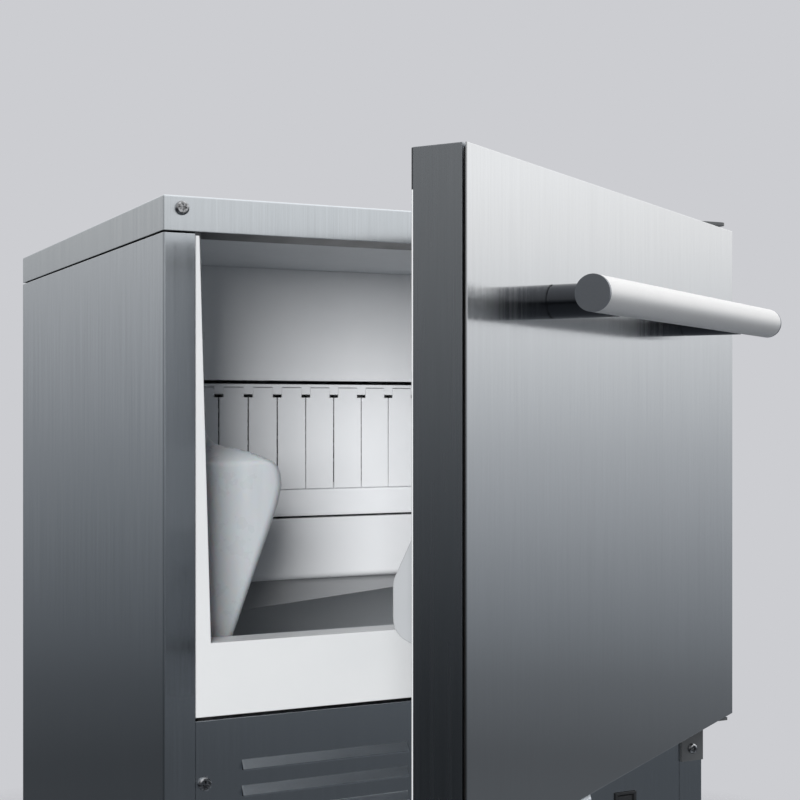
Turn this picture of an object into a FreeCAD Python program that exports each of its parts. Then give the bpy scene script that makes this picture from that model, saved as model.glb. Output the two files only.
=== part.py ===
import FreeCAD, Part
import math
import os
import re
import Sketcher

# Undercounter clear-ice maker with its door ajar.
# Frame: millimetres, +Z up, +X to the right as seen from the front, front towards -Y.
# The origin is on the floor, at the centre of the four feet.

os.makedirs("parts", exist_ok=True)
Vector = FreeCAD.Vector
doc = FreeCAD.newDocument("ice_maker")

DIMENSIONS = {
    # cabinet
    "cabinet_width": 600,
    "cabinet_depth": 610,
    "cabinet_height": 860,
    "steel": 1.2,
    "bend": 2,
    "flange": 30,
    "cap_skirt": 32,
    "cap_gap": 2,
    "cap_screw_left": 282.4,
    "cap_screw_right": 238,
    "cap_screw_z": 848.6,
    "foot_height": 22,
    "pan_wall": 1.5,
    "deck_level": 288,
    # mouth and bin
    "frame_recess": 1.6,
    "frame_depth": 29,
    "frame_top": 842,
    "mouth_front_top": 830,
    "mouth_top": 825,
    "mouth_margin_top": 34.5,
    "mouth_margin_low": 45.6,
    "lip_top": 452.7,
    "lip_low": 385.5,
    "bin_half": 254,
    "bin_floor": 330,
    "bin_rear": 232,
    "bin_corner": 14,
    "liner_wall": 3,
    # ice chamber
    "screen_depth": 266,
    "cover_wall": 3,
    "cover_low": 699,
    "header_low": 691.5,
    "header_height": 3.5,
    "header_depth": 7,
    "tab_width": 11,
    "tab_low": 683.4,
    "flap_pitch": 34.7,
    "flap_width": 32.2,
    "flap_tongue": 22.8,
    "flap_shoulder": 680,
    "flap_low": 576.4,
    "flap_wall": 1.9,
    "flap_hinge_z": 688.5,
    "flap_hinge_set": 2.5,
    "flap_pin": 1.25,
    "running_gap": 0.05,
    "ledge_low": 549.5,
    "ledge_run": 18,
    "fascia_low": 475.3,
    "fascia_depth": 15,
    "sump_half": 226,
    "sump_rim": 544.5,
    "sump_rear": 200,
    "sump_low_left": 434.5,
    "sump_low_right": 474,
    "ramp_slope": 19.6,
    "ramp_length": 276,
    "ramp_level": 584,
    "cup_pitch": 48,
    "cup_rim": 704,
    "cup_radius": 20,
    "plate_level": 742,
    "coil_radius": 5,
    # lower front
    "panel_top": 382.5,
    "panel_low": 26,
    "fold_depth": 12,
    "louvre_length": 200,
    "louvre_pitch": 24,
    # machine compartment
    "fan_x": -80,
    "fan_z": 155,
    "fan_radius": 90,
    "duct_half": 119,
    "duct_front": -244,
    "duct_rear": -206,
    "shaft_radius": 4,
    "compressor_x": 150,
    "compressor_y": 150,
    "compressor_radius": 72,
    "box_low_x": 160,
    "box_width": 80,
    "switch_z": 250,
    "switch_tilt": -8,
    "drain_x": -60,
    "drain_y": 190,
    "inlet_x": -180,
    "inlet_z": 135,
    "inlet_radius": 13.2,
    "gland_x": 230,
    "gland_z": 60,
    # feet
    "foot_x": 250,
    "foot_y": 255,
    "foot_radius": 20,
    "stud_radius": 5,
    # door
    "door_low": 345,
    "door_top": 855,
    "door_thick": 44,
    "door_gap": 7,
    "door_angle": 33.45,
    "hinge_inset": 15,
    "door_band": 3,
    "seam": 2.8,
    "seam_reach": 25,
    "gasket_width": 14,
    "gasket_thick": 6.5,
    "bulge_depth": 46.5,
    "bulge_nose_z": 521,
    "bulge_top": 625,
    "bulge_low": 478,
    "bulge_margin": 50,
    "pin_radius": 5,
    "bush_radius": 8,
    "handle_z": 751.5,
    "handle_radius": 14,
    "handle_stand": 61,
    "handle_margin": 80,
    "post_inset": 67,
    "post_radius": 13.7,
    "cap_disc": 3,
    # scoop
    "scoop_x": -250.5,
    "scoop_y": -197.5,
    "scoop_wide": 95,
    "scoop_deep": 87,
    "scoop_top": 629,
    "scoop_rim": 599,
    "scoop_turn": 420,
    "scoop_tip": 392,
    "scoop_wall": 2.5,
    "scoop_head": 758,
}
FLAPS = 13
LOUVRES = 12

# Places worked out from the sheet, written the way an expression uses them.
SIDE = "(cabinet_width/2)"
FRONT = "(-cabinet_depth/2)"
BACK = "(cabinet_depth/2)"
TOP = "cabinet_height"
CAP_LOW = "(cabinet_height-cap_skirt)"
PANEL_HIGH = "(cabinet_height-cap_skirt-cap_gap)"
SCREEN = "(screen_depth-cabinet_depth/2)"
FRAME_REAR = "(-cabinet_depth/2+frame_recess+frame_depth)"
HINGE_X = "(cabinet_width/2-hinge_inset)"
HINGE_Y = "(-cabinet_depth/2-door_gap-door_thick/2)"
FLAP_AXIS = "(screen_depth-cabinet_depth/2+flap_hinge_set)"
SWITCH_X = "(box_low_x+box_width/2)"
SWITCH_Y = "(-cabinet_depth/2+3)"

sheet = doc.addObject("Spreadsheet::Sheet", "size")
for row, (alias, number) in enumerate(DIMENSIONS.items(), start=1):
    sheet.set(f"A{row}", alias)
    sheet.set(f"B{row}", str(number))
    sheet.setAlias(f"B{row}", alias)
doc.recompute()
sub_parts = []


def linked(text):
    """An expression with each of the sheet's names pointing at the sheet."""
    def pointed(word):
        return f"size.{word[0]}" if word[0] in DIMENSIONS else word[0]

    return re.sub(r"[a-z]\w*", pointed, str(text))


def bind(thing, **sizes):
    """Bind properties of an object to expressions in the sheet's names."""
    for name, text in sizes.items():
        thing.setExpression(name, linked(text))


def place(thing, x, y, z):
    """Bind an object's position."""
    for axis, text in zip("xyz", (x, y, z)):
        thing.setExpression(f"Placement.Base.{axis}", linked(text))
    return thing


def turn(thing, axis, angle):
    """Bind an object's rotation about one axis, in degrees."""
    thing.Placement = FreeCAD.Placement(thing.Placement.Base, FreeCAD.Rotation(axis, 1))
    thing.setExpression("Placement.Rotation.Angle", linked(angle))
    return thing


def named(label, thing):
    """Keep an object as the sub-part of that name."""
    thing.Label = label
    sub_parts.append(thing)
    return thing


# ---- solids from primitives and booleans ----

def box(x_low, x_high, y_low, y_high, z_low, z_high):
    block = doc.addObject("Part::Box", "block")
    bind(block, Length=f"({x_high})-({x_low})", Width=f"({y_high})-({y_low})", Height=f"({z_high})-({z_low})")
    return place(block, x_low, y_low, z_low)


def rod(axis, first, second, low, high, radius):
    """A cylinder along an axis; first and second are its centre on the other two axes, in X, Y, Z order."""
    bar = doc.addObject("Part::Cylinder", "rod")
    bind(bar, Radius=radius, Height=f"({high})-({low})")
    if axis == "x":
        bar.Placement.Rotation = FreeCAD.Rotation(Vector(0, 1, 0), 90)
        return place(bar, low, first, second)
    if axis == "y":
        bar.Placement.Rotation = FreeCAD.Rotation(Vector(1, 0, 0), -90)
        return place(bar, first, low, second)
    return place(bar, first, second, low)


def cone(x, y, low, high, radius_low, radius_high):
    taper = doc.addObject("Part::Cone", "cone")
    bind(taper, Radius1=radius_low, Radius2=radius_high, Height=f"({high})-({low})")
    return place(taper, x, y, low)


def joined(*pieces):
    union = doc.addObject("Part::MultiFuse", "union")
    union.Shapes = list(pieces)
    return union


def group(pieces):
    """Separate solids kept side by side in one sub-part."""
    bundle = doc.addObject("Part::Compound", "group")
    bundle.Links = list(pieces)
    return bundle


def cut(base, *tools):
    difference = doc.addObject("Part::Cut", "cut")
    difference.Base = base
    difference.Tool = tools[0] if len(tools) == 1 else joined(*tools)
    return difference


def softened(base, radius, wanted):
    """Round the edges of a primitive or boolean that the test wanted accepts."""
    doc.recompute()
    smooth = doc.addObject("Part::Fillet", "rounded")
    smooth.Base = base
    picked = [number for number, edge in enumerate(base.Shape.Edges, start=1) if wanted(edge)]
    smooth.Edges = [(number, radius, radius) for number in picked]
    return smooth


# ---- bodies from sketches and features ----

def body(name):
    return doc.addObject("PartDesign::Body", name)


def flat_sketch(part, role, offset):
    """An empty sketch on one of the body's own planes, offset along that plane's normal."""
    sketch = part.newObject("Sketcher::SketchObject", "sketch")
    plane = next(item for item in part.Origin.OriginFeatures if item.Role == role)
    sketch.AttachmentSupport = [(plane, "")]
    sketch.MapMode = "FlatFace"
    sketch.setExpression("AttachmentOffset.Base.z", linked(offset))
    return sketch


def outline(part, role, offset, points):
    """A closed outline with straight sides through points given as pairs of expressions."""
    sketch = flat_sketch(part, role, offset)
    count = len(points)
    start = [Vector(math.cos(math.tau * i / count), math.sin(math.tau * i / count), 0) for i in range(count)]
    for i in range(count):
        sketch.addGeometry(Part.LineSegment(start[i], start[(i + 1) % count]), False)
    for i in range(count):
        sketch.addConstraint(Sketcher.Constraint("Coincident", i, 2, (i + 1) % count, 1))
    for i, point in enumerate(points):
        for kind, text in zip(("DistanceX", "DistanceY"), point):
            number = sketch.addConstraint(Sketcher.Constraint(kind, -1, 1, i, 1, 1.0))
            sketch.setExpression(f"Constraints[{number}]", linked(text))
    return sketch


def rectangle(part, role, offset, low_a, high_a, low_b, high_b):
    corners = [(low_a, low_b), (high_a, low_b), (high_a, high_b), (low_a, high_b)]
    return outline(part, role, offset, corners)


def circles(part, role, offset, centres, radius):
    sketch = flat_sketch(part, role, offset)
    for i, (first, second) in enumerate(centres):
        sketch.addGeometry(Part.Circle(Vector(i, i, 0), Vector(0, 0, 1), 1), False)
        limits = [Sketcher.Constraint(kind, -1, 1, i, 3, 1.0) for kind in ("DistanceX", "DistanceY")]
        limits.append(Sketcher.Constraint("Radius", i, 1.0))
        for limit, text in zip(limits, (first, second, radius)):
            number = sketch.addConstraint(limit)
            sketch.setExpression(f"Constraints[{number}]", linked(text))
    return sketch


def pad(part, sketch, length):
    """Grow a sketch along its plane's normal: +Z, +X or, on the XZ plane, -Y."""
    feature = part.newObject("PartDesign::Pad", "pad")
    feature.Profile = sketch
    bind(feature, Length=length)
    return feature


def pocket(part, sketch, length):
    """Cut a sketch against its plane's normal: -Z, -X or, on the XZ plane, +Y."""
    feature = part.newObject("PartDesign::Pocket", "pocket")
    feature.Profile = sketch
    bind(feature, Length=length)
    return feature


def repeat(part, features, sketch, axis, length, count):
    pattern = part.newObject("PartDesign::LinearPattern", "row")
    pattern.Originals = features
    pattern.Direction = (sketch, [axis])
    bind(pattern, Length=length)
    pattern.Occurrences = count
    part.Tip = pattern
    return pattern


def rounded(part, feature, radius, wanted):
    """Round the edges of a body's feature that the test wanted accepts."""
    doc.recompute()
    fillet = part.newObject("PartDesign::Fillet", "fillet")
    names = [f"Edge{number}" for number, edge in enumerate(feature.Shape.Edges, start=1) if wanted(edge)]
    fillet.Base = (feature, names)
    bind(fillet, Radius=radius)
    return fillet


def number_of(name):
    """A cell's value, for tests on edges."""
    return float(sheet.get(name))


def near(first, second):
    return abs(first - second) < 0.01


def middle(edge):
    return edge.BoundBox.Center


def runs(edge, axis):
    """True for a straight edge along x, y or z."""
    size = edge.BoundBox
    lengths = {"x": size.XLength, "y": size.YLength, "z": size.ZLength}
    along = lengths.pop(axis)
    return along > 0.5 and max(lengths.values()) < 0.01


# ---- fasteners ----

def screw(head_radius, head_height, shank_radius, shank_length, drive):
    """A pan-head screw standing on its seat: head towards +Z, shank towards -Z."""
    part = body("screw")
    head = pad(part, circles(part, "XY_Plane", "0", [("0", "0")], head_radius), head_height)
    smooth = rounded(part, head, head_height * 0.6, lambda edge: near(middle(edge).z, head_height))
    shank = circles(part, "XY_Plane", f"-{shank_length}", [("0", "0")], shank_radius)
    pad(part, shank, f"{shank_length}+{head_height}/2")
    arm = head_radius * 0.55
    blade = drive / 2
    for across, along in ((arm, blade), (blade, arm)):
        cross = rectangle(part, "XY_Plane", head_height, -across, across, -along, along)
        pocket(part, cross, head_height * 0.55)
    return part


def facing_front(part, x, y, z):
    """Stand a screw on a face that looks towards -Y."""
    part.Placement.Rotation = FreeCAD.Rotation(Vector(1, 0, 0), 90)
    return place(part, x, y, z)


CAP_SCREWS = [("-cap_screw_left", "cap_screw_z"), ("cap_screw_right", "cap_screw_z")]
PANEL_SCREWS = [(f"{sign}*261", level) for sign in (-1, 1) for level in ("panel_low+16", "door_low-20")]
TOP_HINGE_SCREWS = [(f"{HINGE_X}-4", f"{FRONT}+20"), (f"{HINGE_X}-4", f"{FRONT}+43")]
LOW_HINGE_SCREWS = [(f"{HINGE_X}-1", "door_low-20"), (f"{HINGE_X}-1", "door_low-42")]
PANEL_SHANK = 2.1
HINGE_SHANK = 2.9
SHANK_ROOM = 0.15
BRACKET = 3


def panel_screws():
    places = CAP_SCREWS + PANEL_SCREWS
    screws = [facing_front(screw(6.5, 3.2, PANEL_SHANK, 12, 1.5), x, FRONT, z) for x, z in places]
    named("panel_screws", group(screws))


def hinge_screws():
    top = [place(screw(5.5, 4, HINGE_SHANK, 14, 1.6), x, y, f"{TOP}+{BRACKET}") for x, y in TOP_HINGE_SCREWS]
    low = [facing_front(screw(5.5, 4, HINGE_SHANK, 14, 1.6), x, f"{FRONT}-{BRACKET}", z)
           for x, z in LOW_HINGE_SCREWS]
    named("hinge_screws", group(top + low))


def shank_holes(part, centres, radius, front, depth):
    """Holes for shanks that run along Y, cut from front towards the back."""
    pocket(part, circles(part, "XZ_Plane", f"-({front})", centres, radius + SHANK_ROOM), depth)


# ---- cabinet ----

def side_panel(label, sign):
    """Sheet bent round the front and the back edge, with a tie strip for the lower panel."""
    part = body(label)
    profile = [(SIDE, FRONT), (f"{SIDE}-flange", FRONT), (f"{SIDE}-flange", f"{FRONT}+steel"),
               (f"{SIDE}-steel", f"{FRONT}+steel"), (f"{SIDE}-steel", f"{BACK}-2*steel"),
               (f"{SIDE}-flange/2", f"{BACK}-2*steel"), (f"{SIDE}-flange/2", f"{BACK}-steel"),
               (SIDE, f"{BACK}-steel")]
    profile = [(f"{sign}*({x})", y) for x, y in profile]
    wall = pad(part, outline(part, "XY_Plane", "foot_height", profile), f"{PANEL_HIGH}-foot_height")
    half = number_of("cabinet_width") / 2
    front = -number_of("cabinet_depth") / 2
    rounded(part, wall, "bend", lambda edge: runs(edge, "z") and near(abs(middle(edge).x), half)
            and near(middle(edge).y, front))
    strip = [(f"{SIDE}-steel", f"{FRONT}+steel"), (f"{SIDE}-48", f"{FRONT}+steel"),
             (f"{SIDE}-48", f"{FRONT}+2*steel"), (f"{SIDE}-steel", f"{FRONT}+2*steel")]
    strip = [(f"{sign}*({x})", y) for x, y in strip]
    pad(part, outline(part, "XY_Plane", "panel_low", strip), "panel_top-panel_low")
    panel_holes = [(x, z) for x, z in PANEL_SCREWS if x.startswith(f"{sign}*")]
    shank_holes(part, panel_holes, PANEL_SHANK, FRONT, 5)
    if sign > 0:
        shank_holes(part, LOW_HINGE_SCREWS, HINGE_SHANK, FRONT, 5)
    named(label, part)


def back_panel():
    part = body("back_panel")
    sheet_face = rectangle(part, "XZ_Plane", f"-{BACK}", f"-{SIDE}", SIDE, "foot_height", PANEL_HIGH)
    pad(part, sheet_face, "steel")
    inside = f"-({BACK}-steel)"
    pocket(part, circles(part, "XZ_Plane", inside, [("inlet_x", "inlet_z")], "inlet_radius+0.5"), "steel")
    pocket(part, circles(part, "XZ_Plane", inside, [("drain_x", "60")], "11.4"), "steel")
    pocket(part, circles(part, "XZ_Plane", inside, [("gland_x", "gland_z")], "9.2"), "steel")
    slot = rectangle(part, "XZ_Plane", inside, "30", "200", "90", "95")
    vent = pocket(part, slot, "steel")
    repeat(part, [vent], slot, "V_Axis", "150", 11)
    named("back_panel", part)


def top_panel():
    """Folded tray, open underneath, with a skirt on all four sides."""
    part = body("top_panel")
    block = pad(part, rectangle(part, "XY_Plane", CAP_LOW, f"-{SIDE}", SIDE, FRONT, BACK), "cap_skirt")
    top = number_of("cabinet_height")
    front = -number_of("cabinet_depth") / 2
    rounded(part, block, "bend*0.75", lambda edge: near(middle(edge).z, top) or
            (runs(edge, "z") and near(middle(edge).y, front)))
    hollow = rectangle(part, "XY_Plane", f"{TOP}-steel", f"-{SIDE}+steel", f"{SIDE}-steel",
                       f"{FRONT}+steel", f"{BACK}-steel")
    pocket(part, hollow, "cap_skirt-steel")
    shank_holes(part, CAP_SCREWS, PANEL_SHANK, FRONT, 3)
    pocket(part, circles(part, "XY_Plane", TOP, TOP_HINGE_SCREWS, HINGE_SHANK + SHANK_ROOM), 3)
    named("top_panel", part)


def base_pan():
    """Tray under the machine compartment, with a weld nut over each foot."""
    inner = f"{SIDE}-steel-0.2"
    front = f"{FRONT}+fold_depth+1.5"
    back = f"{BACK}-2*steel-0.2"
    floor_top = "foot_height+pan_wall"
    tray = box(f"-({inner})", inner, front, back, "foot_height", "foot_height+18")
    inside = box(f"-({inner})+pan_wall", f"{inner}-pan_wall", f"{front}+pan_wall", f"{back}-pan_wall",
                 floor_top, "foot_height+20")
    places = [(f"{a}*foot_x", f"{b}*foot_y") for a in (-1, 1) for b in (-1, 1)]
    nuts = [rod("z", x, y, "foot_height+pan_wall/2", f"{floor_top}+8", "stud_radius+4") for x, y in places]
    bores = [rod("z", x, y, "foot_height-1", "foot_height+12", "stud_radius+running_gap") for x, y in places]
    named("base_pan", cut(joined(cut(tray, inside), *nuts), *bores))


def foot(label, x, y):
    """Levelling foot: round pad, hexagon to turn it by, and its stud."""
    round_pad = softened(rod("z", x, y, "0", "11", "foot_radius"), 1.5, lambda edge: middle(edge).z > 10)
    hexagon = doc.addObject("Part::Prism", "hexagon")
    hexagon.Polygon = 6
    bind(hexagon, Circumradius="9.5", Height="foot_height-10.2")
    place(hexagon, x, y, "10")
    stud = rod("z", x, y, "foot_height-2", "foot_height+40", "stud_radius")
    named(label, joined(round_pad, hexagon, stud))


def front_frame():
    """White ring round the mouth; its sides narrow towards the top and its foot is the lip of the bin."""
    part = body("front_frame")
    front = f"{FRONT}+frame_recess"
    half = f"({SIDE}-flange-0.4)"
    face = rectangle(part, "XZ_Plane", f"-({FRAME_REAR})", f"-{half}", half, "lip_low", "frame_top")
    pad(part, face, "frame_depth")
    top_half = f"({SIDE}-mouth_margin_top)"
    low_half = f"({SIDE}-mouth_margin_low)"
    mouth = [(f"-{low_half}", "lip_top"), (low_half, "lip_top"),
             (top_half, "mouth_front_top"), (f"-{top_half}", "mouth_front_top")]
    throat = [("-bin_half", "lip_top"), ("bin_half", "lip_top"),
              ("bin_half", "mouth_top"), ("-bin_half", "mouth_top")]
    opening = part.newObject("PartDesign::SubtractiveLoft", "opening")
    opening.Profile = outline(part, "XZ_Plane", f"-({front})", mouth)
    opening.Sections = [outline(part, "XZ_Plane", f"-({FRAME_REAR})", throat)]
    named("front_frame", part)


def bin_liner():
    """One-piece bin: closed all round, with the mouth cut in its front wall and a drain in its floor."""
    shell = box("-bin_half-liner_wall", "bin_half+liner_wall", FRAME_REAR, "bin_rear+liner_wall",
                "bin_floor-liner_wall", "mouth_top+liner_wall")
    cavity = box("-bin_half", "bin_half", f"{FRAME_REAR}+liner_wall", "bin_rear", "bin_floor", "mouth_top")
    floor_level = number_of("bin_floor")
    rear = number_of("bin_rear")
    hollow = softened(cavity, number_of("bin_corner"), lambda edge: near(middle(edge).z, floor_level)
                      or (runs(edge, "z") and near(middle(edge).y, rear)))
    mouth = box("-bin_half", "bin_half", f"{FRAME_REAR}-1", f"{FRAME_REAR}+liner_wall+1",
                "lip_top", "mouth_top")
    drain = rod("z", "drain_x", "drain_y", "bin_floor-5", "bin_floor+5", "8")
    named("bin_liner", cut(shell, hollow, mouth, drain))


def foam_insulation():
    """Foamed fill between the liner and the cabinet's sheets, held back behind the gap under the cap."""
    front = f"{FRONT}+2*steel"
    block = box(f"-{SIDE}+steel", f"{SIDE}-steel", front, f"{BACK}-2*steel", "deck_level", f"{TOP}-steel")
    liner = box("-bin_half-liner_wall", "bin_half+liner_wall", f"{FRAME_REAR}-1", "bin_rear+liner_wall",
                "bin_floor-liner_wall", "mouth_top+liner_wall")
    ring_side = f"-{SIDE}+flange", f"{SIDE}-flange"
    frame = box(*ring_side, f"{front}-1", FRAME_REAR, "lip_low-0.5", "frame_top+0.5")
    fold = box(*ring_side, f"{front}-1", f"{FRONT}+fold_depth+2", "deck_level-1", "lip_low")
    gap_low, gap_high = f"{PANEL_HIGH}-1", f"{CAP_LOW}+1"
    groove = cut(box(f"-{SIDE}", SIDE, FRONT, BACK, gap_low, gap_high),
                 box(f"-{SIDE}+flange", f"{SIDE}-flange", FRAME_REAR, f"{BACK}-flange", gap_low, gap_high))
    bore = SHANK_ROOM + PANEL_SHANK
    hinge_bore = SHANK_ROOM + HINGE_SHANK
    holes = [rod("y", x, z, f"{front}-1", f"{FRONT}+14", bore) for x, z in CAP_SCREWS]
    holes += [rod("y", x, z, f"{front}-1", f"{FRONT}+14", hinge_bore) for x, z in LOW_HINGE_SCREWS]
    holes += [rod("z", x, y, f"{TOP}-14", TOP, hinge_bore) for x, y in TOP_HINGE_SCREWS]
    holes.append(rod("z", "drain_x", "drain_y", "deck_level-1", "bin_floor", "11.3"))
    named("foam_insulation", cut(block, liner, frame, fold, groove, *holes))


def lower_front_panel():
    """Sheet between the side flanges with two columns of pressed louvres and a cut-out for the switch."""
    part = body("lower_front_panel")
    half = f"({SIDE}-flange-0.4)"
    face = rectangle(part, "XZ_Plane", f"-({FRONT}+steel)", f"-{half}", half, "panel_low", "panel_top")
    pad(part, face, "steel")
    for low, high in (("panel_low", "panel_low+steel"), ("panel_top-steel", "panel_top")):
        fold = rectangle(part, "XZ_Plane", f"-({FRONT}+fold_depth)", f"-{SIDE}+50", f"{SIDE}-50", low, high)
        pad(part, fold, "fold_depth-steel/2")
    shank_holes(part, PANEL_SCREWS, PANEL_SHANK, FRONT, 3)
    window = rectangle(part, "XZ_Plane", f"-{FRONT}", f"{SWITCH_X}-13.3", f"{SWITCH_X}+13.3",
                       "switch_z-15.3", "switch_z+15.3")
    pocket(part, window, "3")
    for start in (-225, -15):
        slot_low = "panel_low+44"
        slot = rectangle(part, "XZ_Plane", f"-{FRONT}", f"{start}", f"{start}+louvre_length-30",
                         slot_low, f"{slot_low}+7")
        opening = pocket(part, slot, "steel")
        hood = [(FRONT, f"{slot_low}+9.5"), (f"{FRONT}-4.5", f"{slot_low}+1.5"), (f"{FRONT}-4.5", slot_low),
                (f"{FRONT}-3.3", slot_low), (f"{FRONT}+steel/2", f"{slot_low}+7.5"),
                (f"{FRONT}+steel/2", f"{slot_low}+9.5")]
        lip = pad(part, outline(part, "YZ_Plane", f"{start}", hood), "louvre_length-30")
        repeat(part, [opening, lip], slot, "V_Axis", f"louvre_pitch*{LOUVRES - 1}", LOUVRES)
    named("lower_front_panel", part)


# ---- ice chamber ----

def evaporator_cover():
    """Plain panel in front of the evaporator, with a stiffening fold along its foot."""
    part = body("evaporator_cover")
    section = [(SCREEN, "cover_low"), (f"{SCREEN}+14", "cover_low"), (f"{SCREEN}+14", "cover_low+cover_wall"),
               (f"{SCREEN}+cover_wall", "cover_low+cover_wall"), (f"{SCREEN}+cover_wall", "mouth_top"),
               (SCREEN, "mouth_top")]
    pad(part, outline(part, "YZ_Plane", "-bin_half", section), "2*bin_half")
    named("evaporator_cover", part)


def curtain_frame():
    """Header with comb tabs that carry the flaps, cheeks, stop rail and sloping ledge."""
    rear = f"{SCREEN}+header_depth"
    inside = "header_low+1"
    header = box("-bin_half", "bin_half", SCREEN, rear, "header_low", "header_low+header_height")
    reach = f"flap_pitch*{FLAPS}/2+1"
    cheeks = [box("-bin_half", f"-({reach})", SCREEN, rear, "ledge_low-1", inside),
              box(reach, "bin_half", SCREEN, rear, "ledge_low-1", inside)]
    tabs = []
    for i in range(FLAPS + 1):
        centre = f"flap_pitch*{i - FLAPS / 2}"
        tabs.append(box(f"{centre}-tab_width/2", f"{centre}+tab_width/2", SCREEN, rear, "tab_low", inside))
    rail = box(f"-({reach})-1", f"{reach}+1", f"{SCREEN}+2.7", f"{SCREEN}+9", "ledge_low-1", "flap_low+6.6")
    ledge = body("ledge")
    section = [(f"{SCREEN}+2.6", "flap_low-1.6"), (f"{SCREEN}-ledge_run", "ledge_low"),
               (f"{SCREEN}-ledge_run", "ledge_low-2.5"), (f"{SCREEN}+9", "ledge_low-2.5"),
               (f"{SCREEN}+9", "flap_low-1.6")]
    pad(ledge, outline(ledge, "YZ_Plane", "-bin_half", section), "2*bin_half")
    bore = rod("x", FLAP_AXIS, "flap_hinge_z", f"-({reach})-4", f"{reach}+4", "flap_pin+running_gap")
    named("curtain_frame", cut(joined(header, *cheeks, *tabs, rail, ledge), bore))


def flap(number):
    """One curtain flap, drawn about its own hinge axis: leaf, barrel and pins."""
    part = body("flap")
    wide = "flap_width/2"
    tongue = "flap_tongue/2"
    low = "flap_low-flap_hinge_z"
    shoulder = "flap_shoulder-flap_hinge_z"
    leaf = [(f"-{wide}", low), (wide, low), (wide, shoulder), (tongue, shoulder),
            (tongue, "0"), (f"-{tongue}", "0"), (f"-{tongue}", shoulder), (f"-{wide}", shoulder)]
    pad(part, outline(part, "XZ_Plane", "flap_hinge_set-0.1-flap_wall", leaf), "flap_wall")
    pad(part, circles(part, "YZ_Plane", f"-{tongue}", [("0", "0")], "flap_hinge_set"), "flap_tongue")
    pin = circles(part, "YZ_Plane", f"-{tongue}-5", [("0", "0")], "flap_pin")
    pad(part, pin, "flap_tongue+10")
    place(part, f"flap_pitch*{number - (FLAPS + 1) / 2}", FLAP_AXIS, "flap_hinge_z")
    named(f"flap_{number:02d}", part)


def water_sump():
    """Open trough whose floor falls to the left, hung from a deep round-edged fascia."""
    front = f"{SCREEN}-ledge_run"
    inner = f"{front}+fascia_depth"
    trough = body("trough")
    outside = [("-sump_half", "sump_low_left"), ("sump_half", "sump_low_right"),
               ("sump_half", "sump_rim"), ("-sump_half", "sump_rim")]
    pad(trough, outline(trough, "XZ_Plane", "-sump_rear", outside), f"sump_rear-({inner})")
    inside = [("-sump_half+3", "sump_low_left+3.3"), ("sump_half-3", "sump_low_right+2.7"),
              ("sump_half-3", "sump_rim+5"), ("-sump_half+3", "sump_rim+5")]
    pocket(trough, outline(trough, "XZ_Plane", f"-({inner}+3)", inside), f"sump_rear-3-({inner}+3)")
    fascia = body("fascia")
    section = [(front, "fascia_low"), (inner, "fascia_low"), (inner, "sump_rim"), (front, "sump_rim")]
    bar = pad(fascia, outline(fascia, "YZ_Plane", "-bin_half", section), "2*bin_half")
    low = number_of("fascia_low")
    face = number_of("screen_depth") - number_of("cabinet_depth") / 2 - number_of("ledge_run")
    rounded(fascia, bar, "7", lambda edge: runs(edge, "x") and near(middle(edge).z, low)
            and near(middle(edge).y, face))
    named("water_sump", joined(trough, fascia))


def ice_ramp():
    """Slotted slide that tips the finished ice out through the curtain."""
    part = body("ice_ramp")
    half = "(sump_half-5)"
    pad(part, rectangle(part, "XY_Plane", "0", f"-{half}", half, "0", "ramp_length"), "3")
    slot = rectangle(part, "XY_Plane", "3", f"-{half}+9", f"-{half}+17", "14", "ramp_length-14")
    opening = pocket(part, slot, "3")
    repeat(part, [opening], slot, "H_Axis", f"2*{half}-26", 20)
    turn(part, Vector(1, 0, 0), "ramp_slope")
    place(part, "0", f"{SCREEN}+9", "ramp_level")
    named("ice_ramp", part)


CUP_COLUMNS = [f"cup_pitch*{i - 3.5}" for i in range(8)]
CUP_ROWS = [f"28+cup_pitch*{j}" for j in range(4)]


def spray_manifold():
    """Feed pipe, cross pipe, one branch for each column of cups and one nozzle under each cup."""
    level = "sump_rim+15"
    cross = rod("x", "150", level, "-sump_half+4", "sump_half-4", "9")
    feed = rod("z", "-190", "150", "516.5", level, "7")
    ends = [box("-sump_half", "-sump_half+20", "138", "162", "sump_rim", "sump_rim+26"),
            box("sump_half-20", "sump_half", "138", "162", "sump_rim", "sump_rim+26")]
    branches = [rod("y", x, level, "18", "184", "6") for x in CUP_COLUMNS]
    nozzles = [rod("z", x, y, level, f"{level}+14", "3") for x in CUP_COLUMNS for y in CUP_ROWS]
    named("spray_manifold", joined(cross, feed, *ends, *branches, *nozzles))


def evaporator():
    """Plate with inverted cups below it, hung from the ceiling."""
    plate = box("-200", "200", "4", "196", "plate_level", "plate_level+3")
    hangers = [rod("z", x, y, "plate_level+1", "mouth_top", "5")
               for x in ("-194", "194") for y in ("52", "148")]
    cups = []
    hollows = []
    for x in CUP_COLUMNS:
        for y in CUP_ROWS:
            cups.append(cone(x, y, "cup_rim", "plate_level+1", "cup_radius", "cup_radius-3"))
            hollows.append(cone(x, y, "cup_rim-0.5", "plate_level-1", "cup_radius-1.2", "cup_radius-4.2"))
    solid = joined(plate, *hangers, *cups)
    difference = doc.addObject("Part::Cut", "cut")
    difference.Base = solid
    difference.Tool = group(hollows)
    named("evaporator", difference)


def half_ring(x, y, z, sign):
    """Return bend in the XY plane, open towards -X for a positive sign."""
    ring = doc.addObject("Part::Torus", "bend")
    bind(ring, Radius1="cup_pitch/2", Radius2="coil_radius")
    ring.Angle3 = 180
    ring.Placement.Rotation = FreeCAD.Rotation(Vector(0, 0, 1), -90 * sign)
    return place(ring, x, y, z)


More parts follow.
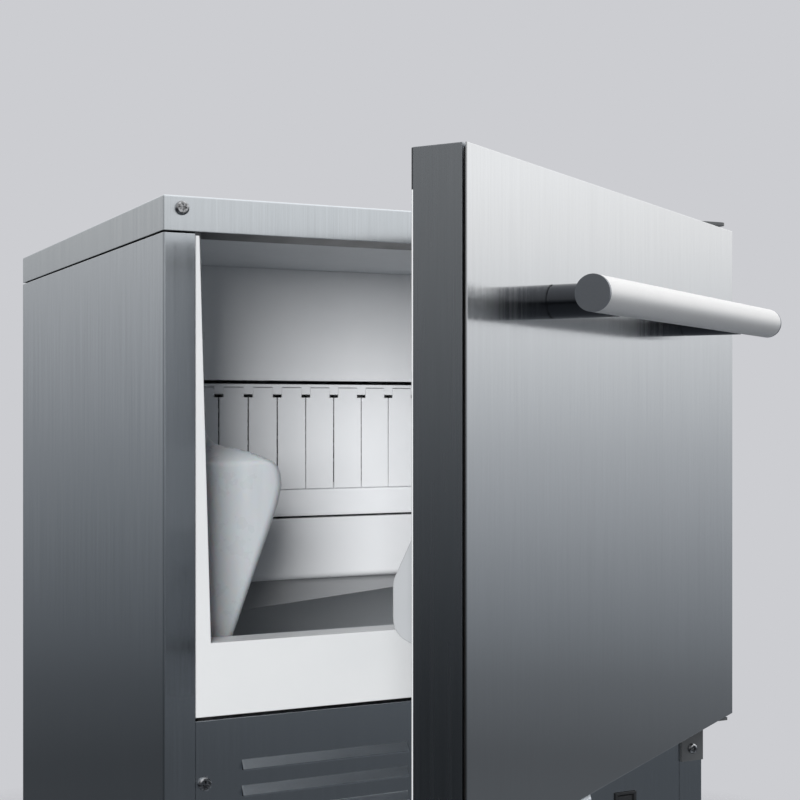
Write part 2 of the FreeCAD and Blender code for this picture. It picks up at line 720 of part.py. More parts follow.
def evaporator_coil():
    """Refrigerant tube: a run over each row of cups, joined by return bends, both ends at the rear wall."""
    level = "plate_level+3+coil_radius"
    reach = 150
    runs_of_tube = [rod("x", y, level, -reach, reach, "coil_radius") for y in CUP_ROWS]
    bends = []
    for j in range(len(CUP_ROWS) - 1):
        sign = 1 if j % 2 == 0 else -1
        bends.append(half_ring(f"{sign * reach}", f"{CUP_ROWS[j]}+cup_pitch/2", level, sign))
    ends = []
    for y, x in ((CUP_ROWS[0], -reach), (CUP_ROWS[-1], -reach)):
        stretch = -30 if y == CUP_ROWS[0] else -14
        ends.append(rod("x", y, level, f"{x}+{stretch}", f"{x}", "coil_radius"))
        elbow = doc.addObject("Part::Sphere", "elbow")
        bind(elbow, Radius="coil_radius")
        ends.append(place(elbow, f"{x}+{stretch}", y, level))
        ends.append(rod("y", f"{x}+{stretch}", level, y, "bin_rear", "coil_radius"))
    named("evaporator_coil", joined(*runs_of_tube, *bends, *ends))


def circulation_pump():
    """Upright pump standing at the low end of the sump."""
    strainer = rod("z", "-190", "150", "sump_low_left+10", "sump_low_left+24", "30")
    motor = softened(rod("z", "-190", "150", "450", "505", "25"), 4, lambda edge: middle(edge).z > 504)
    spout = rod("z", "-190", "150", "500", "516.5", "8")
    named("circulation_pump", joined(strainer, motor, spout))


def bin_sensor():
    """Level feeler tube held by two clips on the right-hand wall."""
    tube = rod("y", "bin_half-8", "462", "-190", "-80", "5")
    clips = [box("bin_half-15", "bin_half", f"{y}", f"{y}+10", "455", "469") for y in (-172, -108)]
    named("bin_sensor", joined(tube, *clips))


# ---- machine compartment ----

def compressor():
    """Hermetic shell on a foot plate, with its terminal cover and tube stubs."""
    shell = body("shell")
    across, along = "compressor_x", "compressor_y"
    drum = pad(shell, circles(shell, "XY_Plane", "40", [(across, along)], "compressor_radius"), "165")
    rounded(shell, drum, "30", lambda edge: edge.Length > 100 and edge.BoundBox.ZLength < 0.01)
    plate = box(f"{across}-88", f"{across}+88", f"{along}-60", f"{along}+60", "36", "42")
    mounts = [rod("z", f"{across}+{a}*74", f"{along}+{b}*46", "foot_height+pan_wall", "46", "11")
              for a in (-1, 1) for b in (-1, 1)]
    cover = box(f"{across}-96", f"{across}-60", f"{along}-24", f"{along}+24", "90", "150")
    stubs = [rod("z", f"{across}+{a}", f"{along}+20", "195", f"{250 + abs(a)}", "4") for a in (-30, 25)]
    named("compressor", joined(shell, plate, *mounts, cover, *stubs))


def condenser():
    """Finned block behind the louvres: end plates, fins and the tubes that pass through them."""
    low, high = "fan_x-duct_half+1", "fan_x+duct_half-1"
    front, rear = f"{FRONT}+16", "duct_front"
    fins = [box(f"{low}+{8 * i}", f"{low}+{8 * i}+0.8", f"{front}+2", f"{rear}-2", "44", "266")
            for i in range(1, 29)]
    plates = [box(x, f"{x}+2", front, rear, "foot_height+pan_wall", "270") for x in (low, f"{high}-2")]
    tubes = [rod("x", f"{front}+{y}", f"{z}", low, high, "4.5")
             for y in (14, 34) for z in range(60, 260, 36)]
    named("condenser", joined(*plates, *fins, *tubes))


def fan_shroud():
    """Duct from the condenser to the fan's round orifice."""
    low, high = "fan_x-duct_half", "fan_x+duct_half"
    floor_level, roof = "fan_z-duct_half", "fan_z+duct_half"
    duct = box(low, high, "duct_front", "duct_rear", floor_level, roof)
    inside = box(f"{low}+2", f"{high}-2", "duct_front-1", "duct_rear-2", f"{floor_level}+2", f"{roof}-2")
    orifice = rod("y", "fan_x", "fan_z", "duct_rear-5", "duct_rear+5", "fan_radius+6")
    legs = [box(x, f"{x}+20", "duct_rear-22", "duct_rear-2", "foot_height+pan_wall", floor_level)
            for x in (f"{low}+10", f"{high}-30")]
    named("fan_shroud", joined(cut(duct, inside, orifice), *legs))


def fan_motor():
    """Motor behind the orifice on three arms, with the shaft that carries the fan."""
    drum = rod("y", "fan_x", "fan_z", "duct_rear+6", "duct_rear+56", "34")
    case = softened(drum, 4, lambda edge: edge.Length > 50)
    shaft = rod("y", "fan_x", "fan_z", "duct_rear-24", "duct_rear+10", "shaft_radius")
    arms = []
    for angle in (90, 210, 330):
        arm = doc.addObject("Part::Box", "arm")
        bind(arm, Length="fan_radius+20", Width="6", Height="14")
        arm.Placement.Rotation = FreeCAD.Rotation(Vector(0, 1, 0), -angle)
        sideways = 7 * math.sin(math.radians(angle))
        upwards = -7 * math.cos(math.radians(angle))
        arms.append(place(arm, f"fan_x+({sideways})", "duct_rear", f"fan_z+({upwards})"))
    hub = rod("y", "fan_x", "fan_z", "duct_rear", "duct_rear+8", "30")
    clearance = rod("y", "fan_x", "fan_z", "duct_rear-1", "duct_rear+7", "shaft_radius")
    named("fan_motor", joined(case, cut(joined(hub, *arms), clearance), shaft))


def fan_blade():
    """Five pitched blades on a hub with a bore that runs on the motor shaft."""
    hub = rod("y", "fan_x", "fan_z", "duct_rear-26", "duct_rear-4", "18")
    blades = []
    for i in range(5):
        angle = 72 * i
        blade = doc.addObject("Part::Box", "blade")
        bind(blade, Length="fan_radius-14", Width="2", Height="46")
        lean = FreeCAD.Rotation(Vector(1, 0, 0), 28)
        spin = FreeCAD.Rotation(Vector(0, 1, 0), -angle)
        blade.Placement = FreeCAD.Placement(Vector(0, 0, 0), spin.multiply(lean))
        corner = spin.multVec(Vector(14, 0, 0) + lean.multVec(Vector(0, -1, -23)))
        place(blade, f"fan_x+({corner.x})", f"duct_rear-16+({corner.y})", f"fan_z+({corner.z})")
        blades.append(blade)
    bore = rod("y", "fan_x", "fan_z", "duct_rear-25", "duct_rear", "shaft_radius+running_gap")
    named("fan_blade", cut(joined(hub, *blades), bore))


def electrical_box():
    """Control housing, open underneath, with the switch bezel that reaches through the front panel."""
    low, high = "box_low_x", "box_low_x+box_width"
    front, rear = f"{FRONT}+15", f"{FRONT}+100"
    floor_level, roof = "foot_height+pan_wall", "deck_level-4"
    case = box(low, high, front, rear, floor_level, roof)
    inside = box(f"{low}+2", f"{high}-2", f"{front}+2", f"{rear}-2", f"{floor_level}-1", f"{roof}-2")
    bezel = box(f"{SWITCH_X}-13", f"{SWITCH_X}+13", f"{FRONT}-2", f"{front}+1", "switch_z-15", "switch_z+15")
    well = box(f"{SWITCH_X}-10", f"{SWITCH_X}+10", f"{FRONT}-3", f"{FRONT}+13",
               "switch_z-12.5", "switch_z+12.5")
    pivot = rod("x", SWITCH_Y, "switch_z", f"{SWITCH_X}-12.5", f"{SWITCH_X}+12.5", "1.2+running_gap")
    named("electrical_box", cut(joined(cut(case, inside), bezel), well, pivot))


def power_switch():
    """Rocker drawn about its pivot and tipped to its off side."""
    part = body("power_switch")
    section = [("-4.6", "-10.5"), ("6", "-9"), ("6", "9"), ("-4.6", "10.5"), ("-3.6", "0")]
    pad(part, outline(part, "YZ_Plane", "-9.6", section), "19.2")
    pad(part, circles(part, "YZ_Plane", "-12", [("0", "0")], "1.2"), "24")
    turn(part, Vector(1, 0, 0), "switch_tilt")
    place(part, SWITCH_X, SWITCH_Y, "switch_z")
    named("power_switch", part)


def water_inlet_valve():
    """Solenoid valve whose threaded inlet stands out of the back panel."""
    block = box("inlet_x-20", "inlet_x+20", f"{BACK}-50", f"{BACK}-6", "inlet_z-22", "inlet_z+22")
    neck = rod("y", "inlet_x", "inlet_z", f"{BACK}-10", f"{BACK}+1", "inlet_radius-1.2")
    thread = rod("y", "inlet_x", "inlet_z", f"{BACK}+1", f"{BACK}+18", "inlet_radius")
    passage = rod("y", "inlet_x", "inlet_z", f"{BACK}-5", f"{BACK}+20", "8")
    coil = rod("z", "inlet_x", f"{BACK}-28", "inlet_z+20", "inlet_z+62", "15")
    outlet = rod("x", f"{BACK}-28", "inlet_z", "inlet_x+15", "inlet_x+46", "5")
    named("water_inlet_valve", cut(joined(block, neck, thread, coil, outlet), passage))


def drain_fitting():
    """Waste pipe from the bin floor to a hose tail on the back."""
    down = rod("z", "drain_x", "drain_y", "49", "bin_floor-liner_wall", "11")
    along = rod("y", "drain_x", "60", "drain_y", BACK, "11")
    tail = rod("y", "drain_x", "60", f"{BACK}-1", f"{BACK}+25", "10")
    bore_down = rod("z", "drain_x", "drain_y", "52", "bin_floor", "8")
    bore_along = rod("y", "drain_x", "60", "drain_y", f"{BACK}+30", "8")
    named("drain_fitting", cut(joined(down, along, tail), bore_down, bore_along))


def cord_gland():
    """Ring in the back panel for a supply cord."""
    neck = rod("y", "gland_x", "gland_z", f"{BACK}-9", f"{BACK}+1", "9")
    flange = rod("y", "gland_x", "gland_z", BACK, f"{BACK}+3", "12")
    nose = cone("gland_x", "0", "0", "8", "9", "6")
    nose.Placement.Rotation = FreeCAD.Rotation(Vector(1, 0, 0), -90)
    place(nose, "gland_x", f"{BACK}+3", "gland_z")
    bore = rod("y", "gland_x", "gland_z", f"{BACK}-10", f"{BACK}+12", "3.6")
    named("cord_gland", cut(joined(neck, flange, nose), bore))


# ---- hinges ----

def top_hinge_bracket():
    """Plate on the cap that reaches forward over the door, with the pin it turns on."""
    part = body("top_hinge_bracket")
    plate = rectangle(part, "XY_Plane", TOP, f"{HINGE_X}-23", f"{HINGE_X}+14", f"{HINGE_Y}-15", f"{FRONT}+55")
    slab = pad(part, plate, BRACKET)
    rounded(part, slab, "8", lambda edge: runs(edge, "z"))
    bores = circles(part, "XY_Plane", f"{TOP}+{BRACKET}", TOP_HINGE_SCREWS, HINGE_SHANK + SHANK_ROOM)
    pocket(part, bores, BRACKET)
    pin = circles(part, "XY_Plane", "door_top-16", [(HINGE_X, HINGE_Y)], "pin_radius")
    pad(part, pin, f"{TOP}+1-(door_top-16)")
    named("top_hinge_bracket", part)


def bottom_hinge_bracket():
    """Angle on the side flange below the door, with the pin that carries it."""
    part = body("bottom_hinge_bracket")
    plate_low = "(door_low-5.5)"
    plate = rectangle(part, "XY_Plane", plate_low, f"{HINGE_X}-20", f"{HINGE_X}+14", f"{HINGE_Y}-15", FRONT)
    pad(part, plate, BRACKET)
    leg = rectangle(part, "XZ_Plane", f"-{FRONT}", f"{HINGE_X}-14", f"{HINGE_X}+14",
                    f"{plate_low}-50", f"{plate_low}+1")
    pad(part, leg, BRACKET)
    shank_holes(part, LOW_HINGE_SCREWS, HINGE_SHANK, f"{FRONT}-{BRACKET}", BRACKET)
    pin = circles(part, "XY_Plane", f"{plate_low}+1", [(HINGE_X, HINGE_Y)], "pin_radius")
    pad(part, pin, "door_low+16-(door_low-4.5)")
    named("bottom_hinge_bracket", part)


# ---- door, drawn about its hinge axis with the front towards -Y, then swung open ----

DOOR_FREE = "(hinge_inset-cabinet_width)"
DOOR_HUNG = "hinge_inset"
DOOR_FACE = "(-door_thick/2)"
DOOR_REAR = "(door_thick/2)"
POST_PLACES = [f"({DOOR_FREE}+handle_margin+post_inset)", "(hinge_inset-handle_margin-post_inset)"]
POST_STUD = 3


def on_door(label, thing):
    turn(thing, Vector(0, 0, 1), "door_angle")
    place(thing, HINGE_X, HINGE_Y, "0")
    return named(label, thing)


def door_holes(low, high):
    """Room through the front of the door for the studs of the handle posts."""
    return [rod("y", x, "handle_z", low, high, POST_STUD + SHANK_ROOM) for x in POST_PLACES]


def bush_holes():
    return [rod("z", "0", "0", "door_low-1", "door_low+20", "bush_radius+running_gap"),
            rod("z", "0", "0", "door_top-20", "door_top+1", "bush_radius+running_gap")]


def door_skin():
    sheet_front = box(DOOR_FREE, DOOR_HUNG, DOOR_FACE, f"{DOOR_FACE}+steel", "door_low", "door_top")
    face = number_of("door_thick") / 2
    eased = softened(sheet_front, 0.5, lambda edge: near(middle(edge).y, -face))
    on_door("door_skin", cut(eased, *door_holes(f"{DOOR_FACE}-1", f"{DOOR_FACE}+3")))


def door_wrap():
    """Band round the four edges of the door, set back from the skin by a seam."""
    front = f"{DOOR_FACE}+steel+seam"
    band = box(DOOR_FREE, DOOR_HUNG, front, DOOR_REAR, "door_low", "door_top")
    inside = box(f"{DOOR_FREE}+door_band", f"{DOOR_HUNG}-door_band", f"{front}-1", f"{DOOR_REAR}+1",
                 "door_low+door_band", "door_top-door_band")
    on_door("door_wrap", cut(band, inside, *bush_holes()))


def door_foam():
    """Fill between the skin and the liner, held back all round behind the seam."""
    behind_skin = f"{DOOR_FACE}+steel"
    core = box(f"{DOOR_FREE}+door_band", f"{DOOR_HUNG}-door_band", behind_skin, f"{DOOR_REAR}-liner_wall",
               "door_low+door_band", "door_top-door_band")
    layer = behind_skin, f"{behind_skin}+seam+2"
    groove = cut(box(DOOR_FREE, DOOR_HUNG, *layer, "door_low", "door_top"),
                 box(f"{DOOR_FREE}+seam_reach", f"{DOOR_HUNG}-seam_reach", *layer,
                     "door_low+seam_reach", "door_top-seam_reach"))
    on_door("door_foam", cut(core, groove, *bush_holes(), *door_holes(f"{DOOR_FACE}-1", f"{DOOR_FACE}+18")))


def door_liner():
    """Inner panel with a hollow ledge moulded across its lower half that throws ice back into the bin."""
    part = body("door_liner")
    plate = rectangle(part, "XZ_Plane", f"-{DOOR_REAR}", f"{DOOR_FREE}+door_band", f"{DOOR_HUNG}-door_band",
                      "door_low+door_band", "door_top-door_band")
    pad(part, plate, "liner_wall")
    start, stop = f"({DOOR_FREE}+bulge_margin)", f"(-bulge_margin-10)"
    rear = DOOR_REAR
    nose = [(f"{rear}-1", "bulge_top"), (f"{rear}-1", "bulge_low"), (f"{rear}+6", "bulge_low"),
            (f"{rear}+bulge_depth", "bulge_nose_z-26"), (f"{rear}+bulge_depth", "bulge_nose_z+14"),
            (f"{rear}+1", "bulge_top")]
    ledge = pad(part, outline(part, "YZ_Plane", start, nose), f"{stop}-{start}")
    depth = number_of("door_thick") / 2 + number_of("bulge_depth")
    rounded(part, ledge, "17", lambda edge: runs(edge, "x") and near(middle(edge).y, depth))
    hollow = [(f"{rear}-liner_wall-1", "bulge_top-6"), (f"{rear}-liner_wall-1", "bulge_low+3"),
              (f"{rear}+5", "bulge_low+3"), (f"{rear}+bulge_depth-12", "bulge_nose_z-17"),
              (f"{rear}+bulge_depth-12", "bulge_nose_z+6"), (f"{rear}-1", "bulge_top-6")]
    pocket(part, outline(part, "YZ_Plane", f"{stop}-3", hollow), f"{stop}-{start}-6")
    on_door("door_liner", part)


def door_gasket():
    """Ring that seals on the side flanges, the cap and the lip of the bin."""
    left, right = f"{DOOR_FREE}+12", f"{DOOR_HUNG}-15"
    low, high = "lip_low+8", "door_top-16"
    rear = f"{DOOR_REAR}+gasket_thick"
    ring = box(left, right, DOOR_REAR, rear, low, high)
    window = box(f"{left}+gasket_width", f"{right}-gasket_width", f"{DOOR_REAR}-1", f"{rear}+1",
                 f"{low}+gasket_width", f"{high}-gasket_width")
    on_door("door_gasket", cut(ring, window))


HANDLE_Y = f"({DOOR_FACE}-handle_stand)"
HANDLE_FREE = f"({DOOR_FREE}+handle_margin)"
HANDLE_HUNG = "(hinge_inset-handle_margin)"


def handle_bar():
    start, stop = f"{HANDLE_FREE}+cap_disc", f"{HANDLE_HUNG}-cap_disc"
    bar = rod("x", HANDLE_Y, "handle_z", start, stop, "handle_radius")
    bore = rod("x", HANDLE_Y, "handle_z", HANDLE_FREE, HANDLE_HUNG, "handle_radius-2")
    on_door("handle_bar", cut(bar, bore))


def handle_end_caps():
    """A flat disc with a spigot for each end of the bar."""
    caps = []
    for low, high, inner_low, inner_high in (
            (HANDLE_FREE, f"{HANDLE_FREE}+cap_disc", HANDLE_FREE, f"{HANDLE_FREE}+12"),
            (f"{HANDLE_HUNG}-cap_disc", HANDLE_HUNG, f"{HANDLE_HUNG}-12", HANDLE_HUNG)):
        disc = rod("x", HANDLE_Y, "handle_z", low, high, "handle_radius")
        spigot = rod("x", HANDLE_Y, "handle_z", inner_low, inner_high, "handle_radius-2-running_gap")
        caps.append(joined(disc, spigot))
    on_door("handle_end_caps", group(caps))


def handle_posts():
    """Round posts saddled to the bar, each on a short foot that shows as a seam, with studs into the door."""
    posts = []
    for x in POST_PLACES:
        post = rod("y", x, "handle_z", f"{HANDLE_Y}+handle_radius/2", f"{DOOR_FACE}-1.2", "post_radius")
        post_foot = rod("y", x, "handle_z", f"{DOOR_FACE}-2", DOOR_FACE, "post_radius-1")
        stud = rod("y", x, "handle_z", f"{DOOR_FACE}-2", f"{DOOR_FACE}+15", POST_STUD)
        saddle = rod("x", HANDLE_Y, "handle_z", f"{x}-20", f"{x}+20", "handle_radius+running_gap")
        posts.append(cut(joined(post, post_foot, stud), saddle))
    on_door("handle_posts", group(posts))


def hinge_bushes():
    """Flanged plain bearings for the two hinge pins."""
    bore = "pin_radius+running_gap"
    low = cut(joined(rod("z", "0", "0", "door_low", "door_low+18", "bush_radius"),
                     rod("z", "0", "0", "door_low-1.5", "door_low", "bush_radius+2")),
              rod("z", "0", "0", "door_low-3", "door_low+20", bore))
    high = cut(joined(rod("z", "0", "0", "door_top-18", "door_top", "bush_radius"),
                      rod("z", "0", "0", "door_top", "door_top+1.5", "bush_radius+2")),
               rod("z", "0", "0", "door_top-20", "door_top+3", bore))
    on_door("hinge_bushes", group([low, high]))


# ---- scoop ----

def scoop_block(inset):
    """Side outline of the scoop's bowl, grown sideways; inset leaves the wall round the hollow."""
    part = body("bowl")
    back = f"scoop_x+{inset}"
    top = f"scoop_top-{inset}"
    overrun = 30 if inset else 0
    slope = "(scoop_deep-29.5)/(scoop_rim-scoop_turn)"
    rim_x = f"scoop_x+scoop_deep+{overrun}"
    points = [(back, top), (rim_x, top), (rim_x, f"scoop_rim+{overrun}*{slope}"),
              (f"scoop_x+29.5+{overrun}", "scoop_turn"), (f"scoop_x+12+{overrun}", f"scoop_tip-{overrun}/3"),
              (back, f"scoop_tip-{overrun}/3")]
    half = f"(scoop_wide/2-{inset})"
    block = pad(part, outline(part, "XZ_Plane", f"-(scoop_y+{half})", points), f"2*{half}")
    corner = 13 - inset
    top_z = number_of("scoop_top") - inset
    back_x = number_of("scoop_x") + inset

    def outer_corner(edge):
        at = middle(edge)
        along_top = runs(edge, "x") and near(at.z, top_z)
        at_the_back = runs(edge, "z") and near(at.x, back_x)
        over_the_rim = runs(edge, "y") and near(at.z, top_z) and at.x > back_x + 40 and not inset
        return along_top or at_the_back or over_the_rim

    rounded(part, block, f"{corner}", outer_corner)
    return part


def ice_scoop():
    """Moulded scoop hanging by its handle: bowl open towards +X, tip down."""
    handle = body("handle")
    grip = [("scoop_x", "scoop_top-6"), ("scoop_x+31", "scoop_top-6"), ("scoop_x+31", "scoop_top"),
            ("scoop_x+21", "scoop_top+13"), ("scoop_x+14", "scoop_top+27"), ("scoop_x+11", "scoop_top+46"),
            ("scoop_x+11", "scoop_head"), ("scoop_x", "scoop_head")]
    pad(handle, outline(handle, "XZ_Plane", "-(scoop_y+15)", grip), "30")
    head = box("scoop_x", "scoop_x+11", "scoop_y-27", "scoop_y+27", "scoop_head-16", "scoop_head")
    inner = scoop_block(DIMENSIONS["scoop_wall"])
    named("ice_scoop", joined(cut(scoop_block(0), inner), cut(joined(handle, head), inner)))


def scoop_hook():
    """Wall plate with two prongs that the head of the scoop's handle rests on."""
    rest = "scoop_head-16.3"
    plate = box("-bin_half", "-bin_half+3", "scoop_y-32", "scoop_y+32", "scoop_head-46", rest)
    prongs = [box("-bin_half+2", "-bin_half+20", f"scoop_y+{side}", f"scoop_y+{side}+9",
                  "scoop_head-24", rest) for side in (-26, 17)]
    named("scoop_hook", joined(plate, *prongs))


side_panel("left_side_panel", -1)
side_panel("right_side_panel", 1)
back_panel()
top_panel()
panel_screws()
base_pan()
front_frame()
bin_liner()
foam_insulation()
lower_front_panel()
evaporator_cover()
curtain_frame()
for flap_number in range(1, FLAPS + 1):
    flap(flap_number)
water_sump()
ice_ramp()
spray_manifold()
evaporator()
evaporator_coil()
circulation_pump()
bin_sensor()
compressor()
condenser()
fan_shroud()
fan_motor()
fan_blade()
electrical_box()
power_switch()
water_inlet_valve()
drain_fitting()
cord_gland()
top_hinge_bracket()
bottom_hinge_bracket()
hinge_screws()
scoop_hook()
ice_scoop()
for foot_label, foot_side, foot_end in (("foot_front_left", -1, -1), ("foot_front_right", 1, -1),
                                        ("foot_rear_left", -1, 1), ("foot_rear_right", 1, 1)):
    foot(foot_label, f"{foot_side}*foot_x", f"{foot_end}*foot_y")
door_skin()
door_wrap()
door_foam()
door_liner()
door_gasket()
handle_bar()
handle_end_caps()
handle_posts()
hinge_bushes()

doc.recompute()
faults = [item.Name for item in doc.Objects if {"Invalid", "Error"} & set(item.State)]
faults += [item.Label for item in sub_parts if item.Shape.isNull() or not item.Shape.isValid()]
if faults:
    raise RuntimeError(f"failed objects: {faults}")
for item in sub_parts:
    item.Shape.exportStep(f"parts/{item.Label}.step")
print(len(sub_parts), "sub-parts written")
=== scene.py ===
import math

import bmesh
import bpy
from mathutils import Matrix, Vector


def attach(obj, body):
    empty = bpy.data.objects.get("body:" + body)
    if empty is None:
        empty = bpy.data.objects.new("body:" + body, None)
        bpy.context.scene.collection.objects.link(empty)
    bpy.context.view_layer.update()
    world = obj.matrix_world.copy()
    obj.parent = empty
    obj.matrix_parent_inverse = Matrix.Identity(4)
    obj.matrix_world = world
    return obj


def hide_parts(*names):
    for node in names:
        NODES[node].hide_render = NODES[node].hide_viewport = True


# Looks of the undercounter ice maker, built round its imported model.
# Metres, +Z up, +X to the right seen from the front, front towards -Y.

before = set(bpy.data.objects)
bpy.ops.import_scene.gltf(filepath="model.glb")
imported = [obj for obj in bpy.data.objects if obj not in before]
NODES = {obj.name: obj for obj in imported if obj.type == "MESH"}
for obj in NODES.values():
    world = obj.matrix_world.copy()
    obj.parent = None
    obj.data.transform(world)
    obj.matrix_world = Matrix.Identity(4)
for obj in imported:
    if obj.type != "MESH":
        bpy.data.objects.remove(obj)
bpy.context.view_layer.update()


# ---- node helpers ----

class Finish:
    """A Principled material and short calls that add nodes to it."""

    def __init__(self, name, colour, roughness, metallic=0.0, **sockets):
        self.material = bpy.data.materials.new(name)
        self.material.use_nodes = True
        self.tree = self.material.node_tree
        self.shader = self.tree.nodes["Principled BSDF"]
        self.colour = colour
        self.roughness = roughness
        self.shader.inputs["Base Color"].default_value = (*colour, 1)
        self.shader.inputs["Roughness"].default_value = roughness
        self.shader.inputs["Metallic"].default_value = metallic
        for socket, value in sockets.items():
            self.shader.inputs[socket.replace("_", " ")].default_value = value
        self.places = self.node("ShaderNodeTexCoord").outputs["Object"]

    def node(self, kind, **settings):
        made = self.tree.nodes.new(kind)
        for setting, value in settings.items():
            setattr(made, setting, value)
        return made

    def link(self, output, target):
        self.tree.links.new(output, target)

    def stretched(self, scale):
        """Object coordinates in cells of one metre over scale, along X, Y and Z."""
        mapping = self.node("ShaderNodeMapping")
        mapping.inputs["Scale"].default_value = scale
        self.link(self.places, mapping.inputs["Vector"])
        return mapping.outputs["Vector"]

    def noise(self, scale, detail=3.0, rough=0.55):
        """Noise from 0 to 1; scale is one number, or one for each axis."""
        each = scale if isinstance(scale, tuple) else (scale, scale, scale)
        texture = self.node("ShaderNodeTexNoise")
        texture.inputs["Scale"].default_value = 1.0
        texture.inputs["Detail"].default_value = detail
        texture.inputs["Roughness"].default_value = rough
        self.link(self.stretched(each), texture.inputs["Vector"])
        return texture.outputs["Fac"]

    def cells(self, scale, output="Color"):
        texture = self.node("ShaderNodeTexVoronoi")
        texture.inputs["Scale"].default_value = 1.0
        self.link(self.stretched((scale, scale, scale)), texture.inputs["Vector"])
        return texture.outputs[output]

    def ranged(self, value, low, high, start=0.3, stop=0.7):
        """Value from start to stop, spread over low to high."""
        spread = self.node("ShaderNodeMapRange")
        for socket, number in (("From Min", start), ("From Max", stop), ("To Min", low), ("To Max", high)):
            spread.inputs[socket].default_value = number
        self.link(value, spread.inputs["Value"])
        return spread.outputs["Result"]

    def shaded(self, value, amount, tint=(1, 1, 1)):
        """The colour darkens, towards a tint, by amount where the value is high."""
        darker = [part * shade * (1 - amount) for part, shade in zip(self.colour, tint)]
        mix = self.node("ShaderNodeMix", data_type="RGBA")
        mix.inputs[6].default_value = (*self.colour, 1)
        mix.inputs[7].default_value = (*darker, 1)
        self.link(self.ranged(value, 0, 1), mix.inputs[0])
        self.link(mix.outputs[2], self.shader.inputs["Base Color"])
        return mix

    def varied_gloss(self, value, amount):
        low, high = self.roughness - amount, self.roughness + amount
        self.link(self.ranged(value, low, high), self.shader.inputs["Roughness"])

    def eased(self, radius):
        """Edges rounded by a small radius, as a layer for a bump to lie on."""
        bevel = self.node("ShaderNodeBevel", samples=4)
        bevel.inputs["Radius"].default_value = radius
        return bevel

    def bump(self, height, strength, distance, below=None):
        """Relief from a height; distance in metres; below is an earlier bump or an eased edge."""
        relief = self.node("ShaderNodeBump")
        relief.inputs["Strength"].default_value = strength
        relief.inputs["Distance"].default_value = distance
        self.link(height, relief.inputs["Height"])
        if below:
            self.link(below.outputs["Normal"], relief.inputs["Normal"])
        self.link(relief.outputs["Normal"], self.shader.inputs["Normal"])
        return relief


# ---- metals ----

def brushed(name, colour, grain, roughness=0.33, spread=0.85, streak=0.10):
    """Sheet steel brushed along one axis: fine streaks, a stretched gloss and faint handling marks."""
    finish = Finish(name, colour, roughness, metallic=1.0, Anisotropic=spread)
    fine, long = 1500, 14
    scale = tuple(long if axis == grain else fine for axis in "XYZ")
    coarse = tuple(5 if axis == grain else 260 for axis in "XYZ")
    streaks = finish.noise(scale, detail=4, rough=0.7)
    finish.shaded(streaks, streak)
    marks = finish.noise(coarse, detail=2)
    finish.varied_gloss(marks, 0.03)
    finish.bump(streaks, 0.04, 0.00002, finish.eased(0.0009))
    tangent = finish.node("ShaderNodeTangent", direction_type="RADIAL", axis="Z")
    finish.link(tangent.outputs["Tangent"], finish.shader.inputs["Tangent"])
    return finish.material


def turned(name, colour, roughness=0.28, metallic=1.0):
    """Satin round bar with a fine even grain; a blasted one is less than wholly metallic."""
    finish = Finish(name, colour, roughness, metallic=metallic)
    grain = finish.noise((900, 900, 900), detail=2)
    finish.shaded(grain, 0.06)
    finish.varied_gloss(finish.noise(60), 0.03)
    finish.bump(grain, 0.06, 0.00003)
    return finish.material


def galvanised(name):
    """Zinc spangle on folded sheet."""
    finish = Finish(name, (0.50, 0.52, 0.53), 0.42, metallic=0.9)
    spangle = finish.cells(95)
    finish.shaded(spangle, 0.22, (0.97, 0.99, 1.0))
    finish.varied_gloss(spangle, 0.09)
    finish.bump(finish.noise(700), 0.05, 0.00005)
    return finish.material


def chrome(name):
    finish = Finish(name, (0.60, 0.61, 0.63), 0.10, metallic=1.0)
    # Dark mottles are painted into the colour: a painted reflection of dark surroundings in the chrome.
    finish.shaded(finish.noise(380, detail=1), 0.85)
    finish.varied_gloss(finish.noise(900), 0.04)
    finish.bump(finish.noise(1500), 0.05, 0.00002)
    return finish.material


def painted(name, colour, roughness=0.4, peel=260):
    """Enamel with a little orange peel."""
    finish = Finish(name, colour, roughness, Coat_Weight=0.15)
    finish.shaded(finish.noise(30), 0.12)
    finish.varied_gloss(finish.noise(90), 0.06)
    finish.bump(finish.noise(peel, detail=2), 0.12, 0.0002)
    return finish.material


def copper_tube(name, colour):
    finish = Finish(name, colour, 0.32, metallic=1.0)
    finish.shaded(finish.noise(45, detail=4), 0.35, (0.95, 0.8, 0.7))
    finish.varied_gloss(finish.noise(120), 0.10)
    finish.bump(finish.noise(500), 0.08, 0.00005)
    return finish.material


def fin_stack(name):
    finish = Finish(name, (0.66, 0.68, 0.70), 0.38, metallic=1.0)
    finish.shaded(finish.noise((40, 40, 300)), 0.25)
    finish.varied_gloss(finish.noise(200), 0.08)
    finish.bump(finish.noise(600), 0.10, 0.0001)
    return finish.material


# ---- plastics, rubber and foam ----

def mould_skin(finish, strength):
    """Handling gloss, a slow ripple and spark-eroded grain."""
    finish.varied_gloss(finish.noise(35, detail=4), 0.05)
    ripple = finish.bump(finish.noise(22, detail=1), 0.05, 0.0012, finish.eased(0.0012))
    finish.bump(finish.noise(1400, detail=1), strength, 0.00006, ripple)


def moulded(name, colour, roughness=0.38):
    """Injection-moulded plastic with a slight colour drift."""
    finish = Finish(name, colour, roughness)
    finish.shaded(finish.noise(9, detail=4), 0.035, (0.99, 0.995, 1.0))
    mould_skin(finish, 0.35)
    return finish.material


